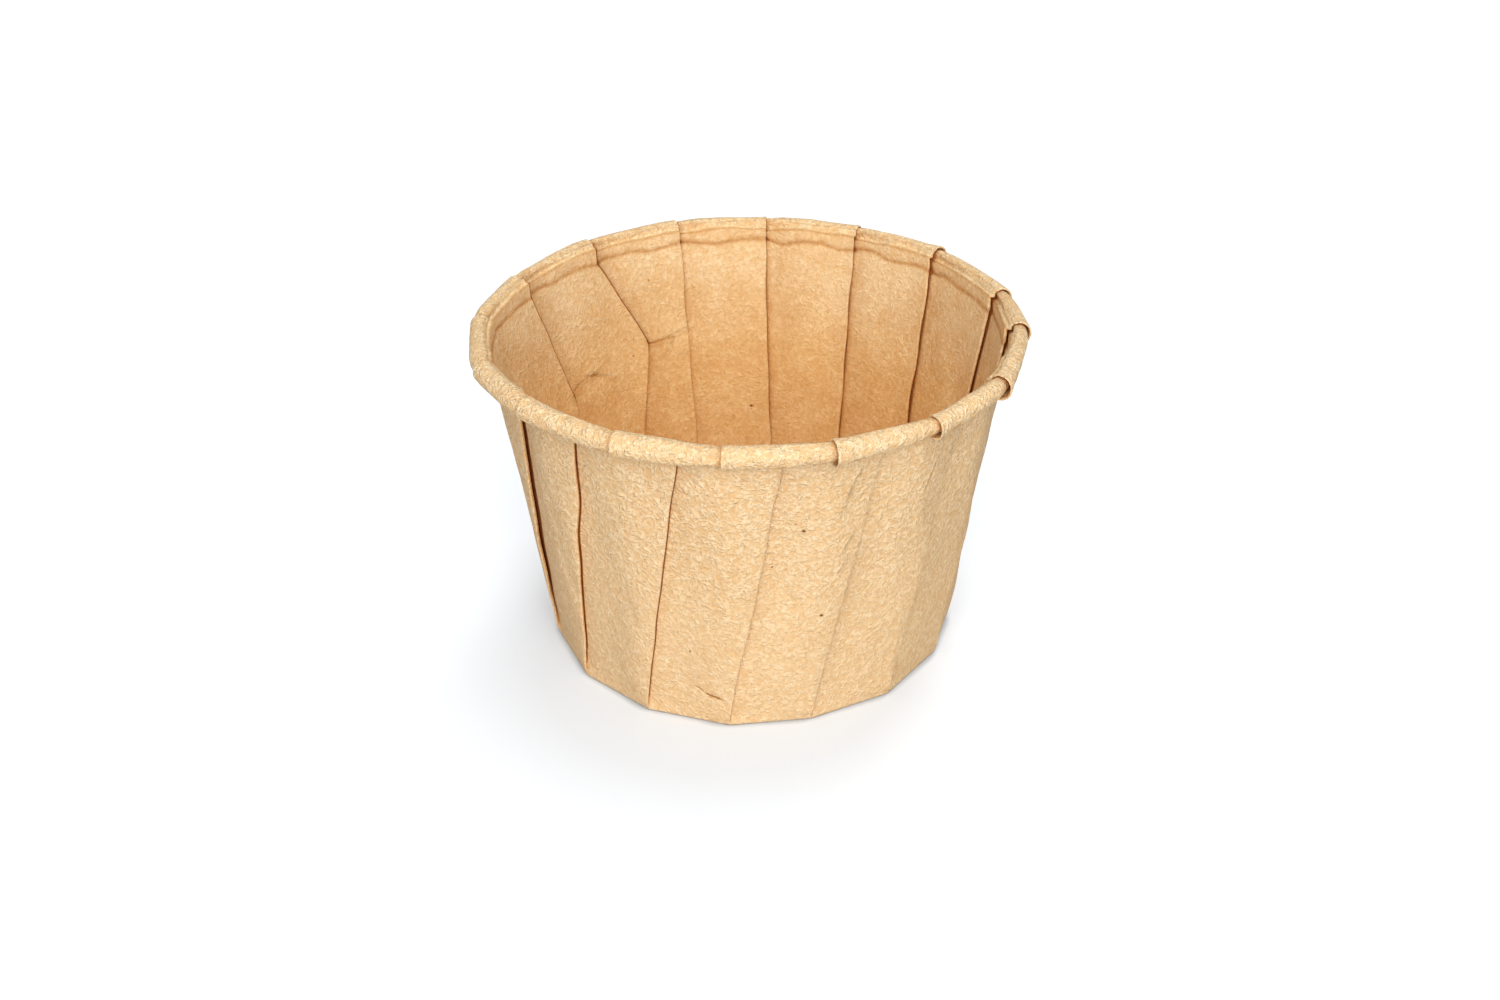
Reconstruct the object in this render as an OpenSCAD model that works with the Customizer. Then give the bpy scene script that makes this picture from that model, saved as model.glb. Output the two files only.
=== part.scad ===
// Souffle cup: one disc of kraft paper, knife-pleated into a cup and rolled outwards at the rim.
// Millimetres, +Z up, origin at the middle of the flat base's underside.
// The wall stands in three layers where a pleat laps over the next panel and in one elsewhere.

/* [Cup] */
// diameter over the rolled rim
rim_d = 73; // [62:0.5:84]
// diameter of the base over its corners
base_d = 55.4; // [46:0.2:60]
// height from the table to the top of the rim
cup_h = 45.4; // [36:0.2:56]
// radius of the bend between base and wall
base_bend_r = 0.4; // [0.3:0.1:1.2]

/* [Paper] */
// thickness of the sheet
paper_t = 0.16; // [0.12:0.01:0.2]
// clear space between two layers of a pleat
layer_gap = 0.06; // [0.04:0.01:0.1]

/* [Pleats] */
// number of knife pleats round the cup
pleat_count = 16; // [14:1:18]
// share of the pleats' flat facets left in the rim, 0 is round and 1 is flat
rim_facet = 0.35; // [0:0.05:0.6]
// how far up the wall the two bent pleats have their kink, as a share of the wall
kink_at = 0.65; // [0.4:0.05:0.8]

/* [Rolled rim] */
// outside diameter of the roll
roll_d = 2.7; // [2.5:0.1:3.4]
// how far the sheet turns round in the roll, degrees
roll_turn = 290; // [240:10:300]
// height of the upright band between the wall's top crease and the ledge inside the roll
band_h = 1.6; // [1:0.1:2.4]
// width of the ledge from the band out to the roll
ledge_w = 0.6; // [0.4:0.1:0.8]

/* [Hidden] */

// spacing of two neighbouring layers, middle to middle
layer_step = paper_t + layer_gap;

// bearing of the first pleat, degrees from +X, and what each pleat is off the even spacing at the
// base, at the rim, and at the kink of the two bent ones
first_bearing = 197.5;
base_shift = [-4, -3, -1, 0, 0, 2, 5, 2, -1, 0, 0, -2, -2, -4, -3, -1];
rim_shift = [3.5, 0, 1, 0, -1, -1, -1, 3, -2, 1, 1, 1, 0, 1, 4, 3];
kink_shift = [0, 0, 0, 0, 0, 0, 0, 0, 0, 0, 0, 0, 0, -11, -8, 0];

// colour of brown kraft paper
kraft = [0.80, 0.62, 0.42];

// roll: circle of the middle layer, centred at [roll_x, roll_z] of the half section
roll_r = roll_d / 2;
mid_r = roll_r - layer_step - paper_t / 2;
roll_x = rim_d / 2 - roll_r;
roll_z = cup_h - roll_r;
// bearings in the half section of the roll's stations: up from the ledge to the top, down the
// outside, and in underneath, where 180 is the side towards the cup's axis
roll_start = 132;
roll_bearings = [
    roll_start,
    (roll_start + 90) / 2,
    for (i = [0:3]) 90 - i * 30,
    for (i = [1:4]) -i * (roll_turn - 180) / 4
];

// ledge level with the roll's centre, and the upright band below it, middle layer
ledge_in = 0.65;
ledge_x = roll_x - ledge_in;
ledge_z = roll_z;
band_x = ledge_x - ledge_w;
band_lean = 0.15;
crease_x = band_x - band_lean;
crease_z = ledge_z - band_h;

// straight wall, from the bend at the base to the crease under the band
wall_lean = atan((crease_x - base_d / 2) / (crease_z - paper_t / 2));
wall_dir = [sin(wall_lean), cos(wall_lean)];
wall_in = [-cos(wall_lean), sin(wall_lean)];
bend_angle = 90 - wall_lean;
bend_cut = base_bend_r * tan(bend_angle / 2);
corner = [base_d / 2 - paper_t / 2, paper_t / 2];
bend_start = corner - [bend_cut, 0];
bend_mid = bend_start + base_bend_r * [sin(bend_angle / 2), 1 - cos(bend_angle / 2)];
wall_len = norm([crease_x, crease_z] - corner);

// distances up the wall from the corner: the folds part at the first ones, then stand free
part_flat = bend_cut;
part_ramp = bend_cut + 0.7;
part_edge = bend_cut + 1.5;
part_free = bend_cut + 3;
wall_parts = [kink_at / 3, kink_at * 2 / 3, kink_at, (kink_at + 1) / 2];

// spacing of a fold's four columns while it lies open
fold_w = 0.12;
// clear strip past a lap's tip, and how close before the inner fold a panel lifts over it
lap_clear = 0.5;
lap_lift = paper_t / 2 + layer_gap;

// surplus of the flat disc over the cup's girth, laid up as the depth of each pleat
function lap_at(d) = max(0, PI * (d - part_edge) * (1 - sin(wall_lean)) / pleat_count);
lap_max = lap_at(wall_len);

// a panel sinks evenly to the outmost layer on the wall, and only towards its end in the rim
wall_sink = 1;
rim_sink = 3;

// one station of the half section:
// [position, inward normal, distance up, open, level, lap, how late its panels sink]
function on_wall(d, open, level) =
    [corner + wall_dir * d, wall_in, d, open, level, lap_at(d), wall_sink];
function on_rim(p, n) = [p, n, wall_len, 0, 1, lap_max, rim_sink];
function on_roll(a) =
    on_rim([roll_x, roll_z] + mid_r * [cos(a), sin(a)], [cos(a), sin(a)]);

stations = concat(
    [[bend_start, [0, 1], 0, 1, 0, 0, wall_sink]],
    [[bend_mid, [-sin(bend_angle / 2), cos(bend_angle / 2)], 0, 1, 0, 0, wall_sink]],
    [on_wall(part_flat, 1, 0)],
    [on_wall(part_ramp, 1, 1)],
    [on_wall(part_edge, 0, 1)],
    [on_wall(part_free, 0, 1)],
    [for (f = wall_parts) on_wall(f * wall_len, 0, 1)],
    [on_rim([crease_x, crease_z], wall_in)],
    [on_rim([band_x, ledge_z], [-1, 1])],
    [on_rim([ledge_x, ledge_z], [-1, 1])],
    [for (a = roll_bearings) on_roll(a)]
);

// columns of one pleat: two at its outer fold, two at its inner fold, four on the panel
fold_cols = 4;
pleat_cols = 8;
col_count = pleat_count * pleat_cols;
ring_count = len(stations);

// bearing of the inner fold of pleat i at height share u, for any whole number i
function pick(list, i) = list[i % len(list)];
function wrap(i) = i - pleat_count * floor(i / pleat_count);
function bearing(i, u) =
    first_bearing + i * 360 / pleat_count
    + pick(base_shift, wrap(i)) * (1 - u)
    + pick(rim_shift, wrap(i)) * u
    + pick(kink_shift, wrap(i)) * min(u / kink_at, (1 - u) / (1 - kink_at));

// column j at station s as [bearing, level]: level 1 is the inmost layer, -1 the outmost
function fold_column(c, at, s, mm) =
    let (
        lap = c < 2 ? s[5] : 0,
        slide = (c - 1.5) * fold_w * s[3],
        mid_level = max(0, 1 - s[5]) / 3,
        levels = [-1, -mid_level, mid_level, 1]
    )
    [at + (lap + slide) * mm, levels[c] * s[4]];
function panel_column(c, at, next, s, mm) =
    let (
        side = 1.5 * fold_w * s[3],
        from = at + (s[5] + side + lap_clear) * mm,
        to = next - (side + lap_lift) * mm,
        f = (c - fold_cols) / (pleat_cols - fold_cols - 1)
    )
    [from + (to - from) * f, (1 - 2 * pow(f, s[6])) * s[4]];
function column(j, s) =
    let (
        i = floor(j / pleat_cols),
        c = j - i * pleat_cols,
        u = s[2] / wall_len,
        mm = 180 / PI / s[0][0]
    )
    c < fold_cols
        ? fold_column(c, bearing(i, u), s, mm)
        : panel_column(c, bearing(i, u), bearing(i + 1, u), s, mm);

// share of the corner radius left at a bearing, for straight facets from corner to corner
function facet(at, from, to) = cos((to - from) / 2) / cos(at - (from + to) / 2);
function reach(j, at, s) =
    let (
        i = floor(j / pleat_cols),
        u = s[2] / wall_len,
        k = at < bearing(i, u) ? i - 1 : i,
        share = 1 - (1 - rim_facet) * u
    )
    1 - share * (1 - facet(at, bearing(k, u), bearing(k + 1, u)));

// mitre of the sheet's two skins at a column, in [along, inwards] millimetres
function left(v) = [-v[1], v[0]] / norm(v);
function mitre(a, b, c) =
    let (
        p = left(b - a),
        q = left(c - b)
    )
    (p + q) / (1 + p * q);
function flat_column(j, s) =
    let (
        v = column(j, s)
    )
    [v[0] * PI / 180 * s[0][0], v[1] * layer_step];

// point of column j at station s, on the inner skin (side 1) or the outer skin (side -1)
function skin_point(j, s, side) =
    let (
        v = column(j, s),
        m = mitre(flat_column(j - 1, s), flat_column(j, s), flat_column(j + 1, s)),
        at = v[0] + side * m[0] * paper_t / 2 * 180 / PI / s[0][0],
        off = v[1] * layer_step + side * m[1] * paper_t / 2,
        r = s[0][0] * reach(j, at, s) + s[1][0] * off,
        z = s[0][1] + s[1][1] * off
    )
    [r * cos(at), r * sin(at), z];

// numbering: all inner skin points, then all outer skin points, then the two base centres
skin_count = ring_count * col_count;
inner_centre = 2 * skin_count;
outer_centre = inner_centre + 1;
function inner_id(r, c) = r * col_count + c % col_count;
function outer_id(r, c) = skin_count + inner_id(r, c);

// one four-cornered patch as two triangles, cut from its first corner or from its second
function patch(a, b, c, d, second) = second ? [[a, b, d], [b, c, d]] : [[a, b, c], [a, c, d]];

// the middle layer runs backwards, so its patches are cut the other way and lie parallel
function backwards(c) = c % pleat_cols == 1;

module cup() {
    skins = [for (side = [1, -1], s = stations, j = [0:col_count - 1]) skin_point(j, s, side)];
    centres = [[0, 0, paper_t], [0, 0, 0]];
    last = ring_count - 1;
    inner_skin = [
        for (r = [0:last - 1], c = [0:col_count - 1])
            each patch(
                inner_id(r, c), inner_id(r, c + 1), inner_id(r + 1, c + 1), inner_id(r + 1, c),
                backwards(c)
            )
    ];
    outer_skin = [
        for (r = [0:last - 1], c = [0:col_count - 1])
            each patch(
                outer_id(r, c), outer_id(r + 1, c), outer_id(r + 1, c + 1), outer_id(r, c + 1),
                backwards(c)
            )
    ];
    sheet_edge = [
        for (c = [0:col_count - 1])
            each patch(
                inner_id(last, c), inner_id(last, c + 1),
                outer_id(last, c + 1), outer_id(last, c),
                false
            )
    ];
    base_top = [for (c = [0:col_count - 1]) [inner_centre, inner_id(0, c + 1), inner_id(0, c)]];
    base_under = [for (c = [0:col_count - 1]) [outer_centre, outer_id(0, c), outer_id(0, c + 1)]];
    color(kraft)
        polyhedron(
            points = concat(skins, centres),
            faces = concat(inner_skin, outer_skin, sheet_edge, base_top, base_under),
            convexity = 10
        );
}

cup();
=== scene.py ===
import math

import bpy
import numpy as np
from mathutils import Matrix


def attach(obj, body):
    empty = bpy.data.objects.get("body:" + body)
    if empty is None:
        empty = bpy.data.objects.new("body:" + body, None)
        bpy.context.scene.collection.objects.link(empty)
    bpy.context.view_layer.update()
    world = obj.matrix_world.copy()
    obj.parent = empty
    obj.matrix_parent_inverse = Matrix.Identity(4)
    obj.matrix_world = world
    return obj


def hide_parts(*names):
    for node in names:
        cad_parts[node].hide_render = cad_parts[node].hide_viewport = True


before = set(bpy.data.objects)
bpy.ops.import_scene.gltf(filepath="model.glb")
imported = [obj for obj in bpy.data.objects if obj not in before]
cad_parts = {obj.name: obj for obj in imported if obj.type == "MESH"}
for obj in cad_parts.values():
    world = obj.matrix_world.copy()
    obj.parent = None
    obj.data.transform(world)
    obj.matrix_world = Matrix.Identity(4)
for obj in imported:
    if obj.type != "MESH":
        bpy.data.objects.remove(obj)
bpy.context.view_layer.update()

# The cup: one disc of brown kraft paper, pressed into a mould so that its flat middle becomes
# the base and its border gathers into sixteen knife pleats. The edge is then curled outwards
# into a hollow roll, and the pleats' folds show on it as overlapping scales. Millimetres.

PLEATS = 16
RIM_D, BASE_D, HEIGHT, ROLL_D = 73.0, 55.4, 45.4, 2.7
PAPER, GAP, BEND_R = 0.16, 0.06, 0.4
STEP = PAPER + GAP
BAND_H, LEDGE_W, LEDGE_IN, BAND_LEAN = 1.6, 0.6, 0.65, 0.15
ROLL_START, ROLL_TURN = 132.0, 290.0
RIM_FACET = 0.35
FIRST_BEARING = 197.5
BASE_SHIFT = np.array([-4, -3, -1, 0, 0, 2, 5, 2, -1, 0, 0, -2, -2, -4, -3, -1.0])
RIM_SHIFT = np.array([3.5, 0, 1, 0, -1, -1, -1, 3, -2, 1, 1, 1, 0, 1, 4, 3.0])
KINK_SHIFT = np.array([0, 0, 0, 0, 0, 0, 0, 0, 0, 0, 0, 0, 0, -11, -8, 0.0])
KINK_AT = np.array([0.65] * 13 + [0.67, 0.58, 0.65])

# a used mould isn't round: how far each pleat's corner stands outside the plain radius
BASE_OUT = np.array([-0.8, -0.4, -0.15, 0.1, -0.25, 0, 0, 0.2, 0.3, 0, 0, 0, 0, 0, -0.2, -0.5])
RIM_OUT = np.array([0.4, 0.1, 0, 0, 0, 0, 0.05, 0.1, 0.2, 0.25, 0, -0.1, -0.05, -0.2, -0.5, 0.05])

# how far each pleat's outer edge stands off the wall, its inner edge off the next panel, and
# how deep the panel beside the outer edge has sunk
FLAP_LIFT = np.array([0.18, 0.17, 0.20, 0.18, 0.10, 0.06] + [0.1] * 10)
FOLD_LIFT = np.array([0.1] * 6 + [0.15, 0.25, 0.3, 0.26, 0.24, 0.22, 0.2, 0.42, 0.5, 0.2])
SINK = np.array([0.26, 0.10, 0.03] + [0.0] * 13)
# how far each fold's end springs open on the roll
FLARE = np.array([0.08, 0.02, 0.04, 0.08, 0.34, 0.36, 0.45, 0.35,
                  0.3, 0.5, 0.12, 0.03, 0.04, 0.08, 0.1, 0.12])

# share of their thickness and spacing that the layers keep where the roll presses them together
TIGHT = 0.6
# painted shade beside the folds, for the shadow in their gaps: width of the shaded strip beside the
# inner folds, how dark the edge of each inner fold is painted above its kink, and the width of the
# painted dark line beside each outer fold with how much it widens a third of the way up
INNER_STRIP_W = 0.6
LIP_SHADE = np.array([0.0] * 13 + [0.9, 0.9, 0.0])
LINE_W = np.array([0.05, 0.09, 0.12] + [0.06] * 12 + [0.1])
GAPE = np.array([0.40, 0.03] + [0.0] * 14)
# how far that painted line takes to fade, how far the faint painted shade outside and inside
# reaches, how dark it is beside each outer and inner fold, and how dark a pleat's hidden layers are
# painted
LINE_FADE, FAINT_OUT, FAINT_IN = 0.1, 2.5, 4.5
OUT_SHADE = np.array([1, 1, 0.95, 0.75, 0.4, 0.35, 0.6, 0.6] + [0.7] * 6 + [0.8, 0.9])
IN_SHADE = np.array([0.8] + [0.7] * 5 + [0.8, 0.9, 1, 0.95, 0.85, 0.8, 0.7, 0.95, 0.9, 0.8])
HIDDEN_SHADE = 0.5
# the columns of a pleat at which its outer fold begins, and its inner fold begins and ends
OUTER_FOLD_START, INNER_FOLD_START, INNER_FOLD_END = 2, 9, 13

# below this radius the folds' millimetres are no longer laid out along the girth
LEAST_R = 20

MID_R = ROLL_D / 2 - STEP - PAPER / 2
ROLL_X, ROLL_Z = RIM_D / 2 - ROLL_D / 2, HEIGHT - ROLL_D / 2
LEDGE_X = ROLL_X - LEDGE_IN
BAND_X = LEDGE_X - LEDGE_W
CREASE = np.array([BAND_X - BAND_LEAN, ROLL_Z - BAND_H])
CORNER = np.array([BASE_D / 2 - PAPER / 2, PAPER / 2])
LEAN = math.atan2(CREASE[0] - CORNER[0], CREASE[1] - CORNER[1])
WALL_LEN = float(np.hypot(*(CREASE - CORNER)))
BEND_CUT = BEND_R * math.tan((math.pi / 2 - LEAN) / 2)


def left(v):
    """Unit normal on the left of a direction: the direction turned by a quarter turn."""
    n = np.stack([-v[..., 1], v[..., 0]], -1)
    return n / np.maximum(np.linalg.norm(n, axis=-1, keepdims=True), 1e-9)


def mitre(line):
    """Offset vector at each inner vertex of a polyline: (p + q) / (1 + p.q) of its two normals."""
    n = left(np.diff(line, axis=-2))
    p, q = n[..., :-1, :], n[..., 1:, :]
    return (p + q) / (1 + (p * q).sum(-1, keepdims=True))


def soft_corner(before, at, after, cut, t):
    """Point at t of the quadratic curve that rounds a corner off, cut before and after it."""
    a, b = before - at, after - at
    la, lb = np.linalg.norm(a, axis=-1, keepdims=True), np.linalg.norm(b, axis=-1, keepdims=True)
    fa, fb = np.minimum(cut / la, 0.45), np.minimum(cut / lb, 0.45)
    wa, wb = (1 - t) ** 2, t ** 2
    return at + wa * fa * a + wb * fb * b, wa * fa, wb * fb


def half_section():
    """Half section of the middle layer from the base's middle to the sheet's edge in the roll.

    Corner points are joined by straight runs with their corners rounded, and the roll is an
    arc. Returns position, inward normal, distance up the wall, bearing round the roll (180 off
    it), and each station's weights of the corner points, which let one corner be moved alone.
    """
    arc = np.radians(np.concatenate([np.linspace(ROLL_START, 90, 7),
                                     np.linspace(90, 180 - ROLL_TURN, 18)[1:]]))
    arc_n = np.stack([np.cos(arc), np.sin(arc)], -1)
    lip = CREASE + np.array([0.12, 0.28])
    corners = np.array([[0, PAPER / 2], CORNER, CREASE, lip, [BAND_X, ROLL_Z], [LEDGE_X, ROLL_Z]])
    points = np.concatenate([corners, np.array([ROLL_X, ROLL_Z]) + MID_R * arc_n])
    normals = np.concatenate([[[0, 1]], mitre(points[:7]), arc_n])
    rows = []

    def run(i, j, fractions):
        for f in fractions:
            w = np.zeros(len(points))
            w[i], w[j] = 1 - f, f
            rows.append(w)

    def corner(i, cut, ts):
        for t in ts:
            _, wa, wb = soft_corner(points[i - 1], points[i], points[i + 1], cut, t)
            w = np.zeros(len(points))
            w[i - 1], w[i + 1] = wa[0], wb[0]
            w[i] = 1 - w[i - 1] - w[i + 1]
            rows.append(w)

    run(0, 1, [0.03, 0.3, 0.6, 0.85, 0.96])
    corner(1, BEND_CUT, [0, 0.25, 0.5, 0.75, 1])
    run(1, 2, [0.015, 0.023, 0.032, 0.042, 0.055, 0.07])
    run(1, 2, np.linspace(0.09, 0.988, 42))
    corner(2, 0.16, [0, 0.5, 1])
    corner(3, 0.1, [0.5])
    run(3, 4, [0.3, 0.7])
    corner(4, 0.14, [0, 0.5, 1])
    corner(5, 0.14, [0, 0.5, 1])
    run(5, 6, [0.4, 0.8])
    for i in range(6, len(points)):
        run(i, i, [1.0])
    w = np.array(rows)
    pos = w @ points
    on_base = pos[:, 1] < CORNER[1] + 0.02
    up = (pos - CORNER) @ np.array([math.sin(LEAN), math.cos(LEAN)])
    dist = np.clip(np.where(on_base, 0, up), 0, WALL_LEN)
    turn = np.full(len(w), 180.0)
    turn[len(w) - len(arc):] = np.degrees(arc)
    return pos, w @ normals, dist, turn, w


def bearing(i, u):
    """Bearing in degrees of pleat i's inner fold at height share u, for any whole number i."""
    k = np.mod(i, PLEATS)
    kink = np.minimum(u / KINK_AT[k], (1 - u) / (1 - KINK_AT[k]))
    return (FIRST_BEARING + i * 360 / PLEATS + BASE_SHIFT[k] * (1 - u) + RIM_SHIFT[k] * u
            + KINK_SHIFT[k] * kink)


def lap_at(dist):
    """Depth of a pleat in mm: its share of the disc's girth that the cup's girth leaves over."""
    return np.maximum(0, math.pi * (dist - BEND_CUT - 1.5) * (1 - math.sin(LEAN)) / PLEATS)


def folds(dist, turn, r):
    """One pleat's section at every station: corner points as [along in mm, level in mm].

    Order: outer fold (2), inner fold (2), end of its spring, end of the strip under the lap,
    start of the slope, lift on to the next pleat. Levels grow inwards. Returns arrays of
    station by pleat by corner.
    """
    u = (dist / WALL_LEN)[:, None]
    i = np.arange(PLEATS)[None, :]
    lap = lap_at(dist)[:, None]
    level = np.clip((dist - BEND_CUT) / 1.3, 0, 1)[:, None]
    level = level * level * (3 - 2 * level)
    opened = np.clip((BEND_CUT + 1.5 - dist) / 1.2, 0, 1)[:, None]
    pitch = (bearing(i + 1, u) - bearing(i, u)) * math.pi / 180 * r[:, None]
    side = 1.5 * 0.12 * opened
    middle = np.maximum(0, 1 - lap) / 3
    rise = np.sin(np.pi * np.clip(u * 0.62 + 0.05, 0, 1)) * np.clip(lap / 1.2, 0, 1)
    tip = lap + 0.10 * waves(i * 22.5, dist[:, None], 11, 12, 9) * np.clip(lap / 2, 0, 1)
    nose = 0.07 * waves(i * 22.5, dist[:, None], 12, 12, 9) * np.clip(lap / 2, 0, 1)
    roll = (turn[:, None] < 179) * 1.0
    spring = np.clip((120 - turn[:, None]) / 110, 0, 1.5)
    step = STEP * (1 - (1 - TIGHT) * np.clip((180 - turn[:, None]) / 60, 0, 1))
    flap = -FLAP_LIFT[i] * rise * (1 - 0.9 * roll)
    fold = FOLD_LIFT[i] * rise * (1 - roll) + FLARE[i] * spring * roll
    sink = SINK[i] * rise * (1 - roll)
    late = 0.62
    late_level = 1 - 2 * late ** (1 + 2.5 * roll)
    ones = np.ones_like(pitch)
    lap_end = (tip + side + 0.8) * ones
    lift_on = pitch - side - PAPER / 2 - GAP
    along = np.stack([(tip - side) * ones, (tip - side / 3) * ones, nose + side / 3, nose + side,
                      side + (tip + 0.5) * 0.3 * ones, lap_end,
                      lap_end + (lift_on - lap_end) * late, lift_on], -1)
    spring_end = fold * (0.55 - 0.4 * roll) + sink * 0.6
    levels = np.stack([-level + flap / step, -level * middle + flap / step * 0.5,
                       level * middle + fold / step * 0.85, level + fold / step,
                       level + spring_end / step, level + sink / step,
                       level * late_level * ones, -level * ones], -1) * step[..., None]
    return along, levels, pitch


def line_width(dist):
    """Width of the dark line beside each outer fold: its own, and GAPE by a bell of the height."""
    # the line is painted shade that stands in for the shadow in the fold's gap
    bell = np.sin(np.pi * np.clip(0.9 - dist / WALL_LEN, 0, 1)) ** 2
    return (LINE_W + GAPE * bell[:, None])[..., None]


def section_columns(line, vectors, line_w):
    """Samples one pleat's corner points into its columns, with every fold rounded off.

    line and vectors hold station by pleat by corner points; the first corner is the lift before
    the outer fold, the last the next pleat's outer fold. Returns points, vectors by column.
    """
    pts, vec = [], []

    def corner(k, cut, ts):
        for t in ts:
            before, at, after = (line[..., k + d, :] for d in (-1, 0, 1))
            p, wa, wb = soft_corner(before, at, after, cut, t)
            pts.append(p)
            vec.append(vectors[..., k, :] * (1 - wa - wb) + vectors[..., k - 1, :] * wa
                       + vectors[..., k + 1, :] * wb)

    def run(j, k, fractions, cuts=(0, 0)):
        length = np.linalg.norm(line[..., k, :] - line[..., j, :], axis=-1, keepdims=True)
        low, high = np.minimum(cuts[0] / length, 0.45), 1 - np.minimum(cuts[1] / length, 0.45)
        for share in fractions:
            f = low + (high - low) * share
            pts.append(line[..., j, :] * (1 - f) + line[..., k, :] * f)
            vec.append(vectors[..., j, :] * (1 - f) + vectors[..., k, :] * f)

    ends = [0, 0.5, 1]
    corner(1, 0.1, ends)
    corner(2, 0.1, ends)
    run(2, 3, [0.5])
    corner(3, 0.1, ends)
    corner(4, 0.1, ends)
    run(4, 5, [0.05, 0.10], (0.1, 0))
    corner(5, 0.6, [0.5])
    # columns where the painted shade line beside the outer fold ends, kept in order at the base
    per_mm = 1 / (line[..., 6, :1] - line[..., 5, :1])
    edge = (line[..., 1, :1] - line[..., 5, :1]) * per_mm
    faded = edge + (line_w + LINE_FADE) * per_mm
    for f, least in ((0.5 * edge, 0.15), (edge + line_w * per_mm, 0.3), (faded, 0.45)):
        f = np.maximum(f, least)
        pts.append(line[..., 5, :] * (1 - f) + line[..., 6, :] * f)
        vec.append(vectors[..., 5, :] * (1 - f) + vectors[..., 6, :] * f)
    corner(6, 0.6, [0.5])
    run(6, 7, [0.3, 0.65])
    corner(7, 1.0, [0.5])
    run(7, 8, [0.35, 0.65, 0.88])
    corner(8, 0.2, [0.2, 0.8])
    run(8, 9, [0.1, 0.37, 0.63, 0.9], (0.2, 0.1))
    return np.stack(pts, -2), np.stack(vec, -2)


def waves(a, b, seed, size_a, size_b, count=14):
    """Smooth unevenness: a sum of cosines over bearing a (degrees) and height b (mm)."""
    rng = np.random.default_rng(seed)
    total = np.zeros(np.broadcast(a, b).shape)
    for _ in range(count):
        n = max(1, round(360 / (size_a * rng.uniform(0.7, 1.8))))
        m = rng.uniform(-1, 1) * 2 * math.pi / size_b
        total = total + np.cos(np.radians(a) * n + b * m + rng.uniform(0, 7))
    return total * math.sqrt(2 / count)


# soft dents and bulges of the wall: bearing and height of both ends, depth inwards, half width
DENTS = [
    (118.5, 26.5, 108.0, 27.5, 0.32, 1.9),
    (145.5, 22.5, 133.0, 24.0, 0.30, 1.9),
    (117.5, 25.0, 121.5, 14.0, 0.18, 1.1),
    (129.5, 40.0, 129.5, 20.0, -0.16, 1.2),
    (150.5, 40.5, 152.0, 31.0, 0.12, 1.0),
    (293.0, 40.0, 289.0, 34.5, -0.10, 1.0),
    (312.5, 37.0, 311.0, 27.5, -0.08, 1.0),
    (36.0, 36.0, 34.0, 22.0, -0.10, 1.1),
]


def dent_depth(a, b, r):
    """Sum of the dents: each is its depth times a bell of the distance to its line."""
    total = np.zeros(a.shape)
    mm = np.radians(1) * r
    for a0, b0, a1, b1, depth, half in DENTS:
        da = (np.mod(a - a0 + 180, 360) - 180) * mm
        db = b - b0
        ea, eb = (a1 - a0) * mm, b1 - b0
        t = np.clip((da * ea + db * eb) / (ea * ea + eb * eb), 0, 1)
        total = total + depth * np.exp(-((da - t * ea) ** 2 + (db - t * eb) ** 2) / half ** 2)
    return total


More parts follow.
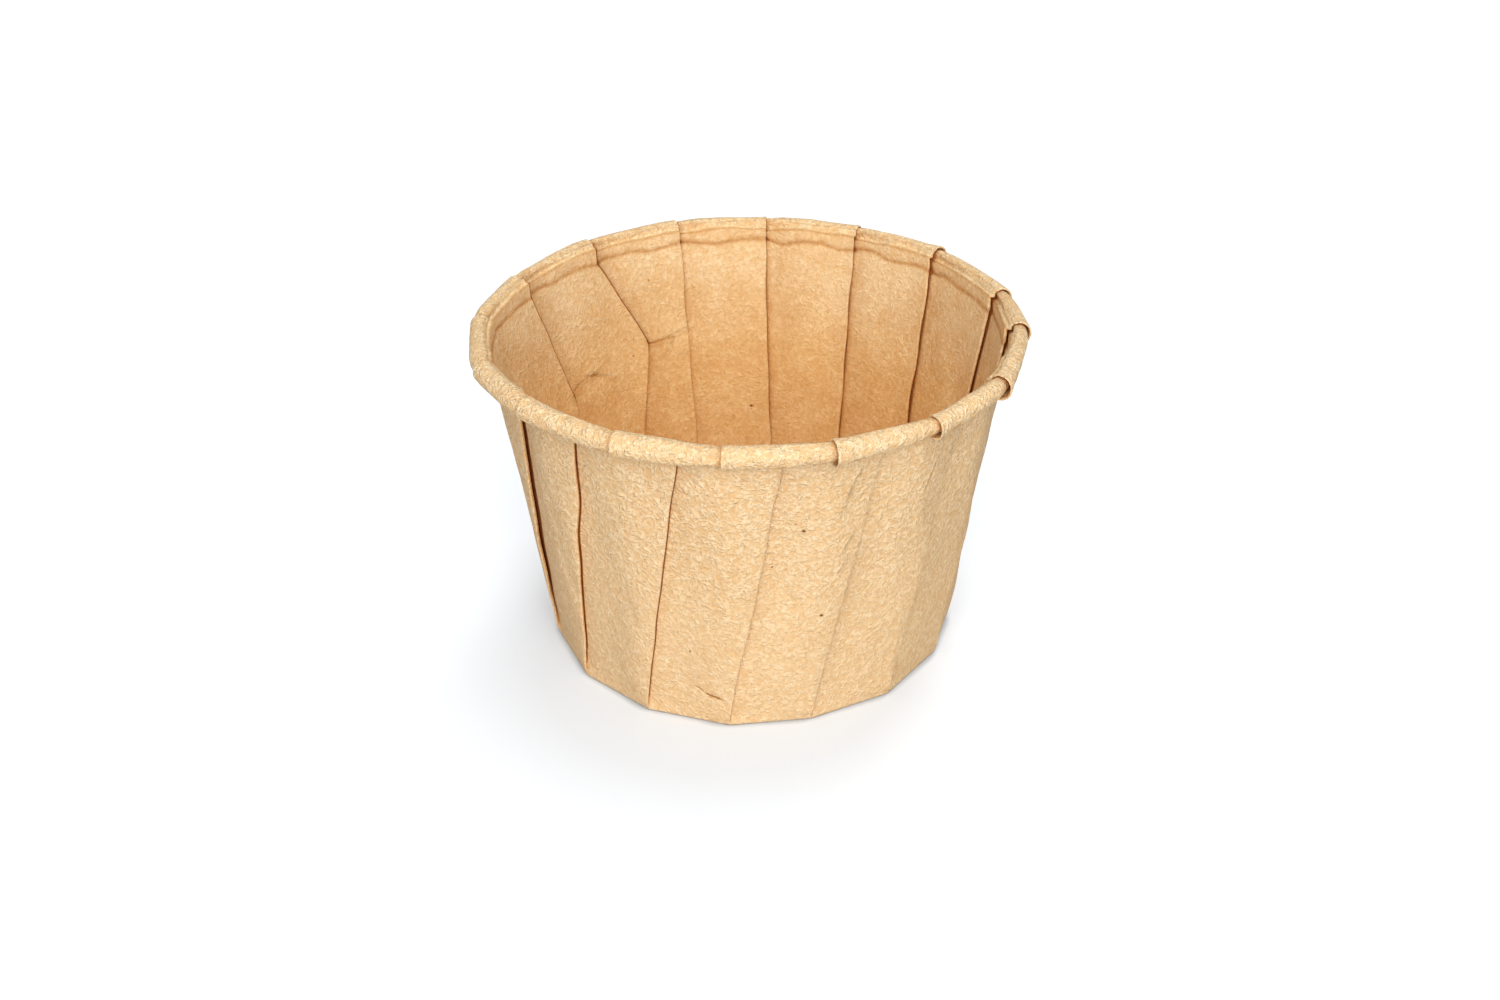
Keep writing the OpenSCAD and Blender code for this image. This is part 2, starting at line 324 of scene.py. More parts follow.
def paper_sheet():
    """Both skins of the folded sheet, station by column by 3, in metres, and their wall map.

    A column's section point (along, level) is laid at the bearing along / radius, and moved by
    level along the half section's normal; a skin adds half the paper along the fold's mitre.
    The wall map is [bearing on a 30 mm radius, run of the sheet from the base's corner] in mm.
    """
    pos, nrm, dist, turn, weights = half_section()
    r = pos[:, 0]
    along, levels, pitch = folds(dist, turn, np.maximum(r, LEAST_R))
    line = np.stack([along, levels], -1)
    ahead = np.stack([pitch, 0 * pitch], -1)
    before = np.roll(line[..., -1, :] - ahead, 1, axis=1)
    after = np.roll(line[..., 0:2, :], -1, axis=1) + ahead[..., None, :]
    line = np.concatenate([before[..., None, :], line, after], -2)
    vectors = mitre(line)
    vectors = np.concatenate([np.zeros_like(vectors[..., :1, :]) + [0, 1.0], vectors], -2)
    line_w = line_width(dist)
    cols, vecs = section_columns(line, vectors, line_w)
    radius = np.maximum(r, LEAST_R)[:, None, None]
    mm = 180 / math.pi / radius
    u = (dist / WALL_LEN)[:, None, None]
    pleat = np.arange(PLEATS)[None, :, None]
    run = np.concatenate([[0], np.cumsum(np.linalg.norm(np.diff(pos, axis=0), axis=1))])
    run = (run + r[0] - CORNER[0])[:, None, None]
    height = pos[:, 1][:, None, None]
    moved = [weights[:, k][:, None, None] for k in range(6)]
    turned = turn[:, None, None]

    # painted shade on the two skins beside the folds, once the folds have shut above the bend
    shut = np.clip(dist - BEND_CUT, 0, 1)[:, None, None]
    column = np.arange(cols.shape[2])
    past_outer = cols[..., 0] - along[..., :1]
    to_next = pitch[..., None] - cols[..., 0]
    near_out = np.clip((line_w + LINE_FADE - past_outer) / LINE_FADE, 0, 1)
    beside_out = 0.88 * near_out + 0.12 * np.clip(1 - past_outer / FAINT_OUT, 0, 1)
    near_in = np.clip(1 - to_next / INNER_STRIP_W, 0, 1)
    beside_in = 0.8 * near_in + 0.2 * np.clip(1 - to_next / FAINT_IN, 0, 1)
    above_kink = np.clip(((dist / WALL_LEN)[:, None] - KINK_AT) * 12 + 1, 0, 1)
    above_kink = above_kink * (turn[:, None] > 179)
    lip = (LIP_SHADE * above_kink)[..., None] * np.clip(INNER_FOLD_END + 1 - column, 0, 1)
    beside_out = beside_out * OUT_SHADE[:, None]
    beside_in = beside_in * np.roll(IN_SHADE, -1)[:, None]
    dark_out = np.where(column < INNER_FOLD_END, HIDDEN_SHADE * (column > OUTER_FOLD_START),
                        beside_out)
    dark_in = np.where(column < INNER_FOLD_START, HIDDEN_SHADE, np.maximum(beside_in, lip))
    painted_crevice_shade = {-1: dark_out * shut, 1: dark_in * shut}

    def skin(side):
        thin = 1 - (1 - TIGHT) * np.clip((180 - turned) / 60, 0, 1)
        a = bearing(pleat, u) + (cols[..., 0] + side * PAPER / 2 * thin * vecs[..., 0]) * mm
        off = cols[..., 1] + side * PAPER / 2 * thin * vecs[..., 1]
        off = off + (1 - thin) * (STEP + PAPER / 2) * 0.85
        k = np.where(a < bearing(pleat, u), pleat - 1, pleat)
        k = np.where(a >= bearing(k + 1, u), k + 1, k)
        lo, hi = bearing(k, u), bearing(k + 1, u)
        flat = np.cos(np.radians((hi - lo) / 2)) / np.cos(np.radians(a - (lo + hi) / 2))
        t = (a - lo) / (hi - lo)
        soft = (1 - np.cos(np.radians((hi - lo) / 2))) * (0.5 - 0.5 * np.cos(2 * math.pi * t))
        softness = np.clip(u / 0.4, 0, 1)
        softness = softness * softness * (3 - 2 * softness)
        reach = 1 - (1 - (1 - RIM_FACET) * u) * ((1 - flat) * (1 - softness) + soft * softness)
        ease = t * t * (3 - 2 * t) * u + t * (1 - u)
        k0, k1 = np.mod(k, PLEATS), np.mod(k + 1, PLEATS)
        out = ((BASE_OUT[k0] * (1 - ease) + BASE_OUT[k1] * ease) * (1 - u)
               + (RIM_OUT[k0] * (1 - ease) + RIM_OUT[k1] * ease) * u ** 3)
        bump = 0.11 * waves(a, height, 3, 24, 22) + 0.05 * waves(a, height, 4, 9, 9, 22)
        bump = (bump + dent_depth(a, height, radius)) * np.clip(dist / 6, 0, 1)[:, None, None]
        on_roll = turned < 179
        swell = np.exp(-((np.mod(a, 360) - 238) / 38) ** 2) * on_roll
        kinks = 0.045 * np.cos(np.radians(turned) * 9 + 2.5 * waves(a, 0 * a, 8, 30, 10))
        kinks = kinks * np.clip((turned - 60) / 40, 0, 1) * on_roll
        bump = bump * (1 - 0.6 * on_roll) + 0.20 * swell + kinks
        lift_z = (moved[4] + moved[5]) * 0.10 * waves(a, 0 * a, 5, 14, 10)
        lift_z = lift_z + (moved[2] + moved[3]) * 0.17 * waves(a, 0 * a, 6, 10, 10)
        lift_r = moved[5] * 0.08 * waves(a, 0 * a, 7, 9, 10)
        away = r[:, None, None] * reach + nrm[:, 0][:, None, None] * (off + bump) + lift_r
        away = away + out * np.clip((r - 15) / 12, 0, 1)[:, None, None]
        z = height + nrm[:, 1][:, None, None] * (off + bump) + lift_z - 0.12 * swell
        place = np.stack([away * np.cos(np.radians(a)), away * np.sin(np.radians(a)),
                          np.broadcast_to(z, a.shape)], -1)
        wall_map = np.stack([np.radians(a) * MAP_R, np.broadcast_to(run, a.shape)], -1)
        shade = np.broadcast_to(painted_crevice_shade[side], a.shape)
        rows = len(r)
        return (place.reshape(rows, -1, 3) / 1000, wall_map.reshape(rows, -1, 2),
                shade.reshape(rows, -1))

    return skin(1), skin(-1)


# the wall map's radius in mm, and how far the outer skin's map lies above the inner skin's
MAP_R = 30.0
OUTER_MAP = 200.0


def map_place(a, up, outer=False):
    """Place on the wall map of a bearing in degrees and a run up the wall in mm."""
    turned = (a - FIRST_BEARING) % 360 + FIRST_BEARING
    return math.radians(turned) * MAP_R, up + (OUTER_MAP if outer else 0), 0.0


def sheet_mesh(name, inside, outside):
    """Closed mesh of two skins: quads between stations, a fan at the base, quads at the edge."""
    (inner, inner_map, inner_shade), (outer, outer_map, outer_shade) = inside, outside
    rings, cols = inner.shape[:2]
    points = np.concatenate([inner.reshape(-1, 3), outer.reshape(-1, 3),
                             [[0, 0, PAPER / 1000]], [[0, 0, 0]]])
    grid = np.arange(rings * cols).reshape(rings, cols)
    nxt = np.roll(grid, -1, axis=1)
    skin_in = np.stack([grid[:-1], grid[1:], nxt[1:], nxt[:-1]], -1).reshape(-1, 4)
    skin_out = skin_in[:, ::-1] + rings * cols
    edge = np.stack([nxt[-1], grid[-1], grid[-1] + rings * cols, nxt[-1] + rings * cols], -1)
    quads = np.concatenate([skin_in, skin_out, edge])
    centre = 2 * rings * cols
    fan_in = np.stack([np.full(cols, centre), grid[0], nxt[0]], -1)
    fan_out = np.stack([np.full(cols, centre + 1), nxt[0] + rings * cols,
                        grid[0] + rings * cols], -1)
    loops = np.concatenate([quads.ravel(), fan_in.ravel(), fan_out.ravel()])
    sizes = np.concatenate([np.full(len(quads), 4), np.full(2 * cols, 3)])
    mesh = bpy.data.meshes.new(name)
    mesh.vertices.add(len(points))
    mesh.vertices.foreach_set("co", points.astype(np.float32).ravel())
    mesh.loops.add(len(loops))
    mesh.loops.foreach_set("vertex_index", loops.astype(np.int32))
    mesh.polygons.add(len(sizes))
    mesh.polygons.foreach_set("loop_start", (np.cumsum(sizes) - sizes).astype(np.int32))
    mesh.update(calc_edges=True)
    mesh.validate()

    flat = np.concatenate([inner_map.reshape(-1, 2), outer_map.reshape(-1, 2) + [0, OUTER_MAP],
                           [[0, -CORNER[0]]], [[0, -CORNER[0] + OUTER_MAP]]])[loops]
    first = np.repeat(np.cumsum(sizes) - sizes, sizes)
    behind = flat[first, 0] - flat[:, 0] > 60
    ahead = flat[:, 0] - flat[first, 0] > 60
    flat[:, 0] += (behind.astype(float) - ahead) * 2 * math.pi * MAP_R
    layer = mesh.uv_layers.new(name="wall_map")
    layer.data.foreach_set("uv", flat.astype(np.float32).ravel())

    # the painted shade beside the folds, one value per vertex
    painted_crevice_shade = mesh.attributes.new("painted_crevice_shade", "FLOAT", "POINT")
    shade = np.concatenate([inner_shade.ravel(), outer_shade.ravel(), [0, 0]])
    painted_crevice_shade.data.foreach_set("value", shade.astype(np.float32))

    mesh.polygons.foreach_set("use_smooth", np.ones(len(sizes), dtype=bool))
    under = np.zeros(len(sizes), dtype=np.int32)
    under[len(skin_in):len(skin_in) * 2] = 1
    under[len(quads) + cols:] = 1
    mesh.polygons.foreach_set("material_index", under)
    ends = mesh.attributes.new("sharp_edge", "BOOLEAN", "EDGE")
    pairs = np.empty(len(mesh.edges) * 2, dtype=np.int32)
    mesh.edges.foreach_get("vertices", pairs)
    pairs = pairs.reshape(-1, 2)
    last_in, last_out = grid[-1].min(), grid[-1].min() + rings * cols
    on_in = ((pairs >= last_in) & (pairs < last_in + cols)).all(1)
    on_out = ((pairs >= last_out) & (pairs < last_out + cols)).all(1)
    ends.data.foreach_set("value", on_in | on_out)
    return mesh


cup_mesh = sheet_mesh("kraft_cup", *paper_sheet())
cup = bpy.data.objects.new("kraft_cup", cup_mesh)
bpy.context.scene.collection.objects.link(cup)

# lines pressed into the paper: side, bearing and height of both ends, depth in mm, half width,
# whether it is stepped, which drops on its left side only, seen from its start, and its painted
# shade
PRESSED = [
    ("in", 118.8, 29.0, 112.0, 29.0, 0.35, 0.8, True, 0.0),
    ("in", 112.0, 29.0, 106.8, 29.9, 0.30, 0.7, True, 0.0),
    ("in", 118.8, 28.7, 112.5, 28.7, -0.16, 0.3, False, 0.45),
    ("in", 112.5, 28.7, 107.5, 29.5, -0.10, 0.25, False, 0.2),
    ("in", 146.0, 25.2, 137.0, 27.2, 0.4, 0.9, True, 0.0),
    ("in", 137.0, 27.2, 130.5, 25.6, 0.3, 0.8, True, 0.0),
    ("in", 146.0, 24.8, 138.5, 26.7, -0.14, 0.3, False, 0.3),
    ("in", 138.5, 26.7, 132.5, 25.6, -0.08, 0.25, False, 0.15),
    ("in", 117.6, 26.0, 120.0, 19.5, -0.07, 0.35, False, 0.25),
    ("in", 120.0, 19.5, 122.0, 15.0, -0.06, 0.3, False, 0.2),
    ("in", 36.5, 34.0, 33.5, 27.0, 0.05, 0.3, False, 0.0),
    ("in", 33.5, 27.0, 36.0, 21.0, 0.04, 0.3, False, 0.0),
    ("in", 82.0, 40.5, 77.5, 35.0, 0.05, 0.3, False, 0.0),
    ("in", 77.5, 35.0, 75.5, 31.5, 0.04, 0.25, False, 0.0),
    ("in", 158.0, 42.0, 148.0, 39.5, 0.06, 0.35, False, 0.0),
    ("in", 152.0, 41.5, 152.5, 31.0, 0.06, 0.4, False, 0.0),
    ("out", 293.3, 40.7, 291.0, 37.4, 0.28, 0.4, True, 0.0),
    ("out", 291.0, 37.4, 289.1, 34.6, 0.24, 0.4, True, 0.0),
    ("out", 293.0, 31.0, 290.6, 28.4, 0.22, 0.35, True, 0.0),
    ("out", 292.0, 27.6, 290.3, 25.4, 0.20, 0.35, True, 0.0),
    ("out", 312.8, 37.5, 310.4, 34.0, 0.22, 0.4, True, 0.0),
    ("out", 310.8, 33.0, 312.4, 29.5, 0.20, 0.35, True, 0.0),
    ("out", 255.6, 5.9, 259.0, 4.9, -0.12, 0.13, False, 0.6),
    ("out", 259.0, 4.9, 263.4, 4.3, -0.16, 0.20, False, 0.9),
]

# creases all round the inside: height over the wall's top, sway, depth, half width, painted shade
RINGS = [
    (-0.2, 0.4, -0.14, 0.40, 0.6),
    (1.45, 0.4, -0.10, 0.22, 0.5),
    (2.9, 0.5, -0.06, 0.13, 0.25),
]

# dark specks in the pulp: side, bearing, height and radius in mm
SPECKS = [
    ("out", 281.9, 31.9, 0.34), ("out", 280.3, 32.8, 0.26), ("out", 287.6, 18.5, 0.28),
    ("out", 274.2, 29.9, 0.20), ("out", 275.5, 26.0, 0.22), ("out", 254.9, 11.7, 0.22),
    ("out", 232.6, 37.9, 0.24), ("out", 232.2, 36.6, 0.18), ("in", 89.5, 16.8, 0.34),
]


def nodes_of(tree):
    """Short hand for building a node tree: returns make(kind, inputs, **settings).

    An input is a constant, which is set directly, or another node's output, which is linked.
    """
    def make(kind, inputs=(), **settings):
        node = tree.nodes.new(kind)
        for name, value in settings.items():
            setattr(node, name, value)
        for slot, value in (inputs.items() if isinstance(inputs, dict) else enumerate(inputs)):
            if isinstance(value, bpy.types.NodeSocket):
                tree.links.new(value, node.inputs[slot])
            else:
                node.inputs[slot].default_value = value
        return node
    return make


# a bell is this number to the power of a squared ratio of distance to width
ONE_OVER_E = 0.367879


def pressed_line_group():
    """Share of one pressed line's depth: exp(-(distance / width)^2), on one side of an edge.

    The side is a smooth step of the signed distance over plus and minus Edge, so a wide Edge
    gives half the height on both sides, and a narrow one a sharp step.
    """
    tree = bpy.data.node_groups.new("pressed_line", "ShaderNodeTree")
    for name, kind in [("Place", "NodeSocketVector"), ("Start", "NodeSocketVector"),
                       ("Reach", "NodeSocketVector"), ("Per Length", "NodeSocketVector"),
                       ("Leftwards", "NodeSocketVector"), ("Width", "NodeSocketFloat"),
                       ("Edge", "NodeSocketFloat")]:
        tree.interface.new_socket(name, in_out="INPUT", socket_type=kind)
    tree.interface.new_socket("Share", in_out="OUTPUT", socket_type="NodeSocketFloat")
    make = nodes_of(tree)
    given = tree.nodes.new("NodeGroupInput").outputs

    def vector(operation, a, b):
        return make("ShaderNodeVectorMath", [a, b], operation=operation).outputs

    def scalar(operation, a, b, **settings):
        return make("ShaderNodeMath", [a, b], operation=operation, **settings).outputs[0]

    away = vector("SUBTRACT", given["Place"], given["Start"])[0]
    share = vector("DOT_PRODUCT", away, given["Per Length"])["Value"]
    share = scalar("ADD", share, 0.0, use_clamp=True)
    scaled = make("ShaderNodeVectorMath", {"Vector": given["Reach"], "Scale": share},
                  operation="SCALE").outputs[0]
    gap = vector("DISTANCE", away, scaled)["Value"]
    ratio = scalar("DIVIDE", gap, given["Width"])
    bell = scalar("POWER", ONE_OVER_E, scalar("MULTIPLY", ratio, ratio))
    signed = vector("DOT_PRODUCT", away, given["Leftwards"])["Value"]
    minus = scalar("MULTIPLY", given["Edge"], -1.0)
    side = make("ShaderNodeMapRange",
                {"Value": signed, "From Min": minus, "From Max": given["Edge"]},
                interpolation_type="SMOOTHSTEP").outputs["Result"]
    share = scalar("MULTIPLY", bell, side)
    tree.links.new(share, tree.nodes.new("NodeGroupOutput").inputs["Share"])
    return tree


def kraft_paper(side):
    """Uncoated brown kraft of one side: warm tan, mottled by its fibres, with specks and a tooth.

    The bump is a sum of heights in mm: the pressed lines, soft cockles, and fibres, which are
    thin ridges along the level curves of a noise, 1 - |n - 1/2| / width, broken by another.
    The colour also carries painted light: fibre ridges are painted paler and their gaps darker,
    the creases and the strips beside the folds get painted shade, and a painted sheen tint
    pales the outside and the inside towards the roll.
    """
    mat = bpy.data.materials.new("kraft_paper_" + side)
    mat.use_nodes = True
    tree = mat.node_tree
    tree.nodes.clear()
    make = nodes_of(tree)
    place = tree.nodes.new("ShaderNodeTexCoord").outputs["Object"]
    wall_map = make("ShaderNodeUVMap", uv_map="wall_map").outputs[0]

    def noise(scale, detail, rough, distortion=0.0, at=place):
        return make("ShaderNodeTexNoise", {"Vector": at, "Scale": scale, "Detail": detail,
                                           "Roughness": rough, "Distortion": distortion})

    def math_node(operation, *values, clamp=False):
        return make("ShaderNodeMath", values, operation=operation, use_clamp=clamp).outputs[0]

    def spread(value, low, high, to_low, to_high):
        return make("ShaderNodeMapRange", {"Value": value, "From Min": low, "From Max": high,
                                           "To Min": to_low, "To Max": to_high},
                    interpolation_type="SMOOTHSTEP").outputs["Result"]

    def total(values):
        result = values[0]
        for value in values[1:]:
            result = math_node("ADD", result, value)
        return result

    def fibres(scale, width, keep):
        level = math_node("SUBTRACT", noise(scale, 1.5, 0.5, 0.6).outputs["Fac"], 0.5)
        ridge = spread(math_node("ABSOLUTE", level), 0.0, width, 1.0, 0.0)
        patches = noise(scale * 0.8, 1.0, 0.5).outputs["Fac"]
        broken = spread(patches, keep - 0.06, keep + 0.06, 0.0, 1.0)
        return math_node("MULTIPLY", ridge, broken)

    shift = make("ShaderNodeVectorMath", [noise(700, 2, 0.5).outputs["Color"], (0.5, 0.5, 0.5)],
                 operation="SUBTRACT").outputs[0]
    shift = make("ShaderNodeVectorMath", {"Vector": shift, "Scale": 1.1},
                 operation="SCALE").outputs[0]
    wobbly = make("ShaderNodeVectorMath", [wall_map, shift], operation="ADD").outputs[0]
    group = pressed_line_group()
    # painted shade of the pressed lines and the ring creases is summed beside their height
    height, crease_shade = 0.0, 0.0
    outer = side == "out"
    lines = [line[1:] for line in PRESSED if line[0] == side]
    for a0, up0, a1, up1, depth, width, stepped, dark in lines:
        start, end = np.array(map_place(a0, up0, outer)), np.array(map_place(a1, up1, outer))
        reach = end - start
        length = float(np.linalg.norm(reach))
        line = make("ShaderNodeGroup", node_tree=group)
        tree.links.new(wobbly, line.inputs["Place"])
        line.inputs["Start"].default_value = start
        line.inputs["Reach"].default_value = reach
        line.inputs["Per Length"].default_value = reach / length ** 2
        line.inputs["Leftwards"].default_value = np.array([-reach[1], reach[0], 0]) / length
        line.inputs["Width"].default_value = width
        line.inputs["Edge"].default_value = 0.12 if stepped else 1000.0
        share = line.outputs["Share"]
        height = math_node("MULTIPLY_ADD", share, depth if stepped else 2 * depth, height)
        # painted shade in the pressed line's groove
        if dark:
            crease_shade = math_node("MULTIPLY_ADD", share, dark if stepped else 2 * dark, crease_shade)

    # creases run round the inside: under the band, wavy, and where the roll begins
    run = make("ShaderNodeSeparateXYZ", [wall_map]).outputs["Y"]
    for rise, sway, depth, width, dark in [] if outer else RINGS:
        swayed = math_node("MULTIPLY_ADD", noise(110, 3, 0.5).outputs["Fac"], sway, run)
        above = math_node("SUBTRACT", swayed, WALL_LEN + rise + sway / 2)
        ratio = math_node("DIVIDE", above, width)
        bell = math_node("POWER", ONE_OVER_E, math_node("MULTIPLY", ratio, ratio))
        height = math_node("MULTIPLY_ADD", bell, depth, height)
        # painted shade along the ring crease
        crease_shade = math_node("MULTIPLY_ADD", bell, dark, crease_shade)

    # the mould smooths the inside of the wall, and curling roughens the roll
    if outer:
        rough = spread(run, OUTER_MAP + 10, OUTER_MAP + 36, 0.48, 0.72)
    else:
        rough = spread(run, WALL_LEN + 0.8, WALL_LEN + 3.5, 0.42, 0.95)

    cockles = math_node("MULTIPLY", noise(420, 3, 0.55, 0.3).outputs["Fac"], 0.16)
    tooth = math_node("MULTIPLY", noise(2300, 2, 0.6, 0.5).outputs["Fac"], 0.12)
    coarse = fibres(1150, 0.13, 0.48)
    fine = fibres(2000, 0.16, 0.44)
    ridges = math_node("ADD", math_node("MULTIPLY", coarse, 0.13),
                       math_node("MULTIPLY", fine, 0.10))
    height = math_node("MULTIPLY_ADD", total([cockles, tooth, ridges]), rough, height)
    relief = make("ShaderNodeBump", {"Strength": 1.0, "Distance": 0.001, "Height": height})

    def tones(value, *stops):
        ramp = make("ShaderNodeValToRGB", [value])
        for at, _ in stops[1:-1]:
            ramp.color_ramp.elements.new(at)
        for element, (at, colour) in zip(ramp.color_ramp.elements, stops):
            element.position = at
            element.color = (*colour, 1)
        return ramp.outputs["Color"]

    def tint(colour, by):
        return make("ShaderNodeVectorMath", [colour, by], operation="MULTIPLY").outputs[0]

    clouds = math_node("MULTIPLY_ADD", noise(90, 3, 0.6, 0.4).outputs["Fac"], 0.5,
                       math_node("MULTIPLY", noise(260, 6, 0.62).outputs["Fac"], 0.5))
    patchy = 0.4 if outer else spread(run, WALL_LEN, WALL_LEN + 3, 1.35, 0.35)
    clouds = math_node("MULTIPLY_ADD", math_node("SUBTRACT", clouds, 0.5), patchy, 0.5)
    cloudy = tones(clouds, (0.38, (0.84, 0.54, 0.262)), (0.62, (0.91, 0.635, 0.345)))
    grainy = tones(noise(1500, 3, 0.7, 0.4).outputs["Fac"],
                   (0.34, (0.91, 0.83, 0.73)), (0.60, (1.0, 1.0, 1.0)))
    # partly the fibres' own tone, partly painted light: ridges painted paler as if lit, gaps darker
    # as if shaded
    fuzz = math_node("SUBTRACT", total([coarse, fine]), 0.35)
    fuzz = math_node("MULTIPLY_ADD", fuzz, rough, 0.35)
    fibre_tone_and_light = tones(fuzz, (0.0, (0.94, 0.87, 0.77)), (1.0, (1.12, 1.19, 1.30)))
    nearest = 10.0
    for a, up, radius in [speck[1:] for speck in SPECKS if speck[0] == side]:
        away = make("ShaderNodeVectorMath", [wobbly, map_place(a, up, outer)],
                    operation="DISTANCE").outputs["Value"]
        nearest = math_node("MINIMUM", nearest, math_node("DIVIDE", away, radius))
    stray = make("ShaderNodeTexVoronoi", {"Vector": place, "Scale": 150.0}).outputs["Distance"]
    speck = tones(nearest, (0.5, (0.30, 0.16, 0.08)), (0.95, (1.0, 1.0, 1.0)))
    fleck = tones(stray, (0.015, (0.62, 0.45, 0.30)), (0.035, (1.0, 1.0, 1.0)))
    # painted shade: the shade painted beside the folds and in the creases turns the colour dark
    # brown
    depth = make("ShaderNodeAttribute", attribute_name="painted_crevice_shade").outputs["Fac"]
    painted_shade_tone = tones(math_node("ADD", crease_shade, depth), (0.0, (1.0, 1.0, 1.0)), (0.5, (0.80, 0.65, 0.50)),
                 (1.0, (0.33, 0.13, 0.04)))
    # painted light: the outside is paler and bluer than the inside; inside it is warmer low down,
    # as from bounced light, and paler at the wall top and roll, a painted sheen
    if outer:
        painted_light_tint = (0.98, 1.035, 1.14)
    else:
        painted_light_rise = math_node("ADD", spread(run, WALL_LEN - 20, WALL_LEN - 3, 0.0, 0.5),
                         spread(run, WALL_LEN + 1.5, WALL_LEN + 4.5, 0.0, 0.5))
        painted_light_tint = tones(painted_light_rise, (0.0, (1.0, 1.005, 0.91)), (0.5, (0.96, 1.045, 1.13)),
                     (1.0, (1.05, 1.13, 1.26)))
    # random tone and grain, fibre tone with painted fibre light, the painted light tint, specks,
    # and the painted shade
    colour = tint(tint(tint(cloudy, grainy), tint(fibre_tone_and_light, painted_light_tint)), tint(tint(speck, fleck), painted_shade_tone))
    shader = make("ShaderNodeBsdfPrincipled",
                  {"Base Color": colour, "Normal": relief.outputs[0], "Roughness": 0.8,
                   "Specular IOR Level": 0.2})
    make("ShaderNodeOutputMaterial", {"Surface": shader.outputs[0]})
    return mat


cup_mesh.materials.append(kraft_paper("in"))
cup_mesh.materials.append(kraft_paper("out"))
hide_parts("cup")
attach(cup, "root")


# The table: a plain white surface under the cup, which shows the cup's soft shadow and stays
# white in the background. It isn't part of the cup.

floor_mesh = bpy.data.meshes.new("white_floor")
# half the table's width, and how far its top lies over the cup's underside, so neither flickers
HALF, TOP = 3.0, 0.00002
floor_mesh.from_pydata([(-HALF, -HALF, TOP), (HALF, -HALF, TOP),
                        (HALF, HALF, TOP), (-HALF, HALF, TOP)], [], [(0, 1, 2, 3)])
floor = bpy.data.objects.new("white_floor", floor_mesh)
bpy.context.scene.collection.objects.link(floor)


def white_floor():
    """White card: plain diffuse grey for the light, and for the camera a cool white that shows
    the shadow beside the cup and glows up to plain white away from it. Close to the base an
    occlusion factor darkens both, a painted contact shadow.
    """
    mat = bpy.data.materials.new("white_floor")
    mat.use_nodes = True
    nodes, links = mat.node_tree.nodes, mat.node_tree.links
    nodes.clear()
    out = nodes.new("ShaderNodeOutputMaterial")
    card = nodes.new("ShaderNodeBsdfDiffuse")
    card.inputs["Color"].default_value = (0.5, 0.5, 0.5, 1)
    seen = nodes.new("ShaderNodeBsdfDiffuse")
    make = nodes_of(mat.node_tree)
    place = nodes.new("ShaderNodeTexCoord").outputs["Object"]
    # painted light: the glow is weakest on a spot just in front of the cup and grows outwards,
    # washing out the real shadow at the sides and back while the front keeps it
    away = make("ShaderNodeVectorMath", [place, (-0.004, -0.014, 0)],
                operation="DISTANCE").outputs["Value"]
    lift = make("ShaderNodeMapRange", {"Value": away, "From Min": 0.024, "From Max": 0.046,
                                       "To Min": 0.19, "To Max": 0.42}).outputs["Result"]
    far = make("ShaderNodeMapRange", {"Value": away, "From Min": 0.2, "From Max": 1.2})
    lift = make("ShaderNodeMath", [far.outputs["Result"], lift], operation="ADD").outputs[0]
    # painted contact shadow: an occlusion factor darkens the seen card and its glow beside the base
    painted_contact_shade = make("ShaderNodeAmbientOcclusion", {"Distance": 0.0025}).outputs["AO"]
    painted_contact_shade = make("ShaderNodeMapRange", {"Value": painted_contact_shade, "From Min": 0.3, "From Max": 0.62,
                                             "To Min": 0.4}).outputs["Result"]
    glow = make("ShaderNodeEmission", {"Strength": make("ShaderNodeMath", [lift, painted_contact_shade],
                                                        operation="MULTIPLY").outputs[0]})
    links.new(make("ShaderNodeVectorMath", {"Vector": (0.695, 0.745, 0.80), "Scale": painted_contact_shade},
                   operation="SCALE").outputs[0], seen.inputs["Color"])
    both = nodes.new("ShaderNodeAddShader")
    links.new(seen.outputs[0], both.inputs[0])
    links.new(glow.outputs[0], both.inputs[1])
    ray = nodes.new("ShaderNodeLightPath")
    pick = nodes.new("ShaderNodeMixShader")
    links.new(ray.outputs["Is Camera Ray"], pick.inputs["Fac"])
    links.new(card.outputs[0], pick.inputs[1])
    links.new(both.outputs[0], pick.inputs[2])
    links.new(pick.outputs[0], out.inputs["Surface"])
    return mat


floor_mesh.materials.append(white_floor())

# The light: a white studio room with dark flags at both sides, a broad low panel in front, a
# soft lamp above it and one overhead, and a weak one high behind the cup, which lays its shadow
# on the table towards the camera and the left.

world = bpy.data.worlds.new("studio")
bpy.context.scene.world = world
world.use_nodes = True
room = world.node_tree.nodes["Background"]
make_room = nodes_of(world.node_tree)
towards = make_room("ShaderNodeTexCoord").outputs["Generated"]
sideways = make_room("ShaderNodeSeparateXYZ", [towards]).outputs["X"]
sideways = make_room("ShaderNodeMath", [sideways], operation="ABSOLUTE").outputs[0]
strength = make_room("ShaderNodeMapRange",
                     {"Value": sideways, "To Min": 0.40, "To Max": 0.24}).outputs["Result"]
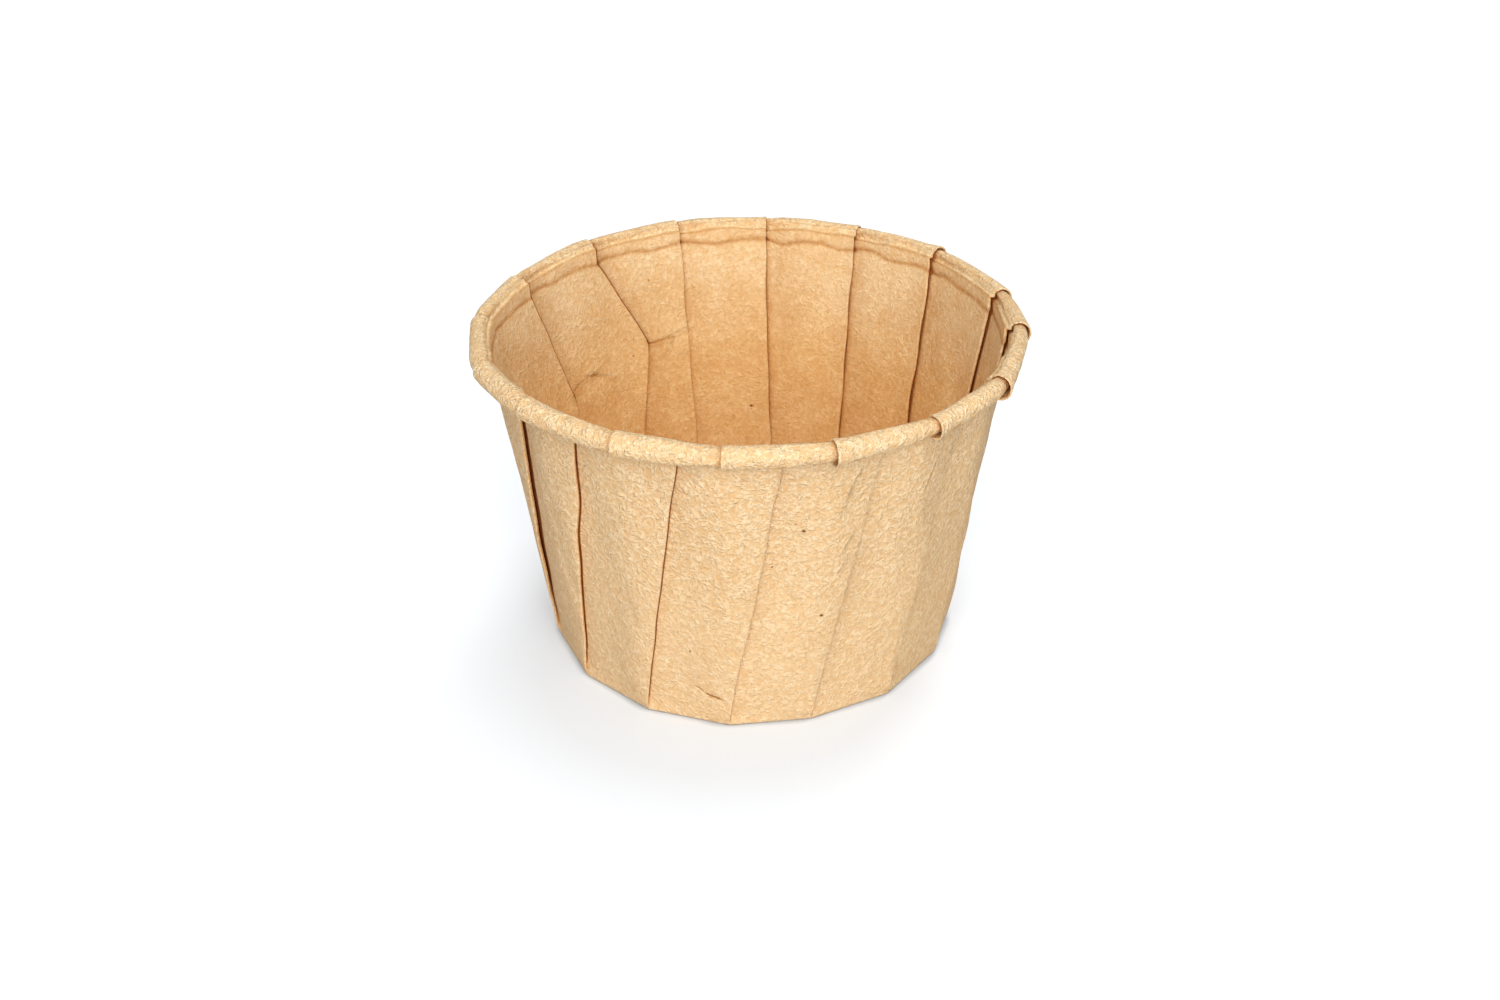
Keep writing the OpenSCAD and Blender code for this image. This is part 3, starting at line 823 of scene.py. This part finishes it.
# seen directly, or in a gloss or through a clear thing, the room is plain white
ray = world.node_tree.nodes.new("ShaderNodeLightPath").outputs
direct = ray["Is Camera Ray"]
for kind in ("Is Glossy Ray", "Is Transmission Ray"):
    direct = make_room("ShaderNodeMath", [direct, ray[kind]], operation="MAXIMUM").outputs[0]
strength = make_room("ShaderNodeMix",
                     {"Factor": direct, "A": strength, "B": 1.0}).outputs["Result"]
world.node_tree.links.new(strength, room.inputs["Strength"])
room.inputs["Color"].default_value = (1, 1, 1, 1)


def soft_lamp(name, bearing_deg, rise_deg, reach, size, power):
    """Oblong area lamp that faces the cup from a bearing, a rise over the table and a reach."""
    data = bpy.data.lights.new(name, "AREA")
    data.shape = "RECTANGLE"
    data.size, data.size_y = size
    data.energy = power
    lamp = bpy.data.objects.new(name, data)
    b, e = math.radians(bearing_deg), math.radians(rise_deg)
    lamp.location = (reach * math.cos(e) * math.cos(b), reach * math.cos(e) * math.sin(b),
                     0.02 + reach * math.sin(e))
    lamp.rotation_euler = (math.pi / 2 - e, 0, b + math.pi / 2)
    bpy.context.scene.collection.objects.link(lamp)
    return lamp


soft_lamp("front_panel", -89, 19, 1.0, (1.6, 0.6), 8.2)
soft_lamp("front_lamp", -88, 48, 0.9, (0.4, 0.4), 3.0)
soft_lamp("top_lamp", -90, 80, 0.9, (0.5, 0.5), 0.9)
soft_lamp("back_lamp", 65, 50, 0.9, (0.35, 0.35), 1.7)

# The camera: the photograph's view, a little over thirty degrees above the table, with a lens
# of 48 mm on a 36 mm wide sensor, found by fitting the rim, the base corners and the wall.

camera_data = bpy.data.cameras.new("photo_camera")
camera_data.lens = 48
camera_data.sensor_width = 36
camera_data.clip_start = 0.01
camera = bpy.data.objects.new("photo_camera", camera_data)
DOWN = math.radians(30.15)
REACH = 0.2755
camera.location = (0.00017, -REACH * math.cos(DOWN), 0.01793 + REACH * math.sin(DOWN))
camera.rotation_euler = (math.pi / 2 - DOWN, 0, 0)
bpy.context.scene.collection.objects.link(camera)
bpy.context.scene.camera = camera
bpy.context.scene.view_settings.view_transform = "Standard"
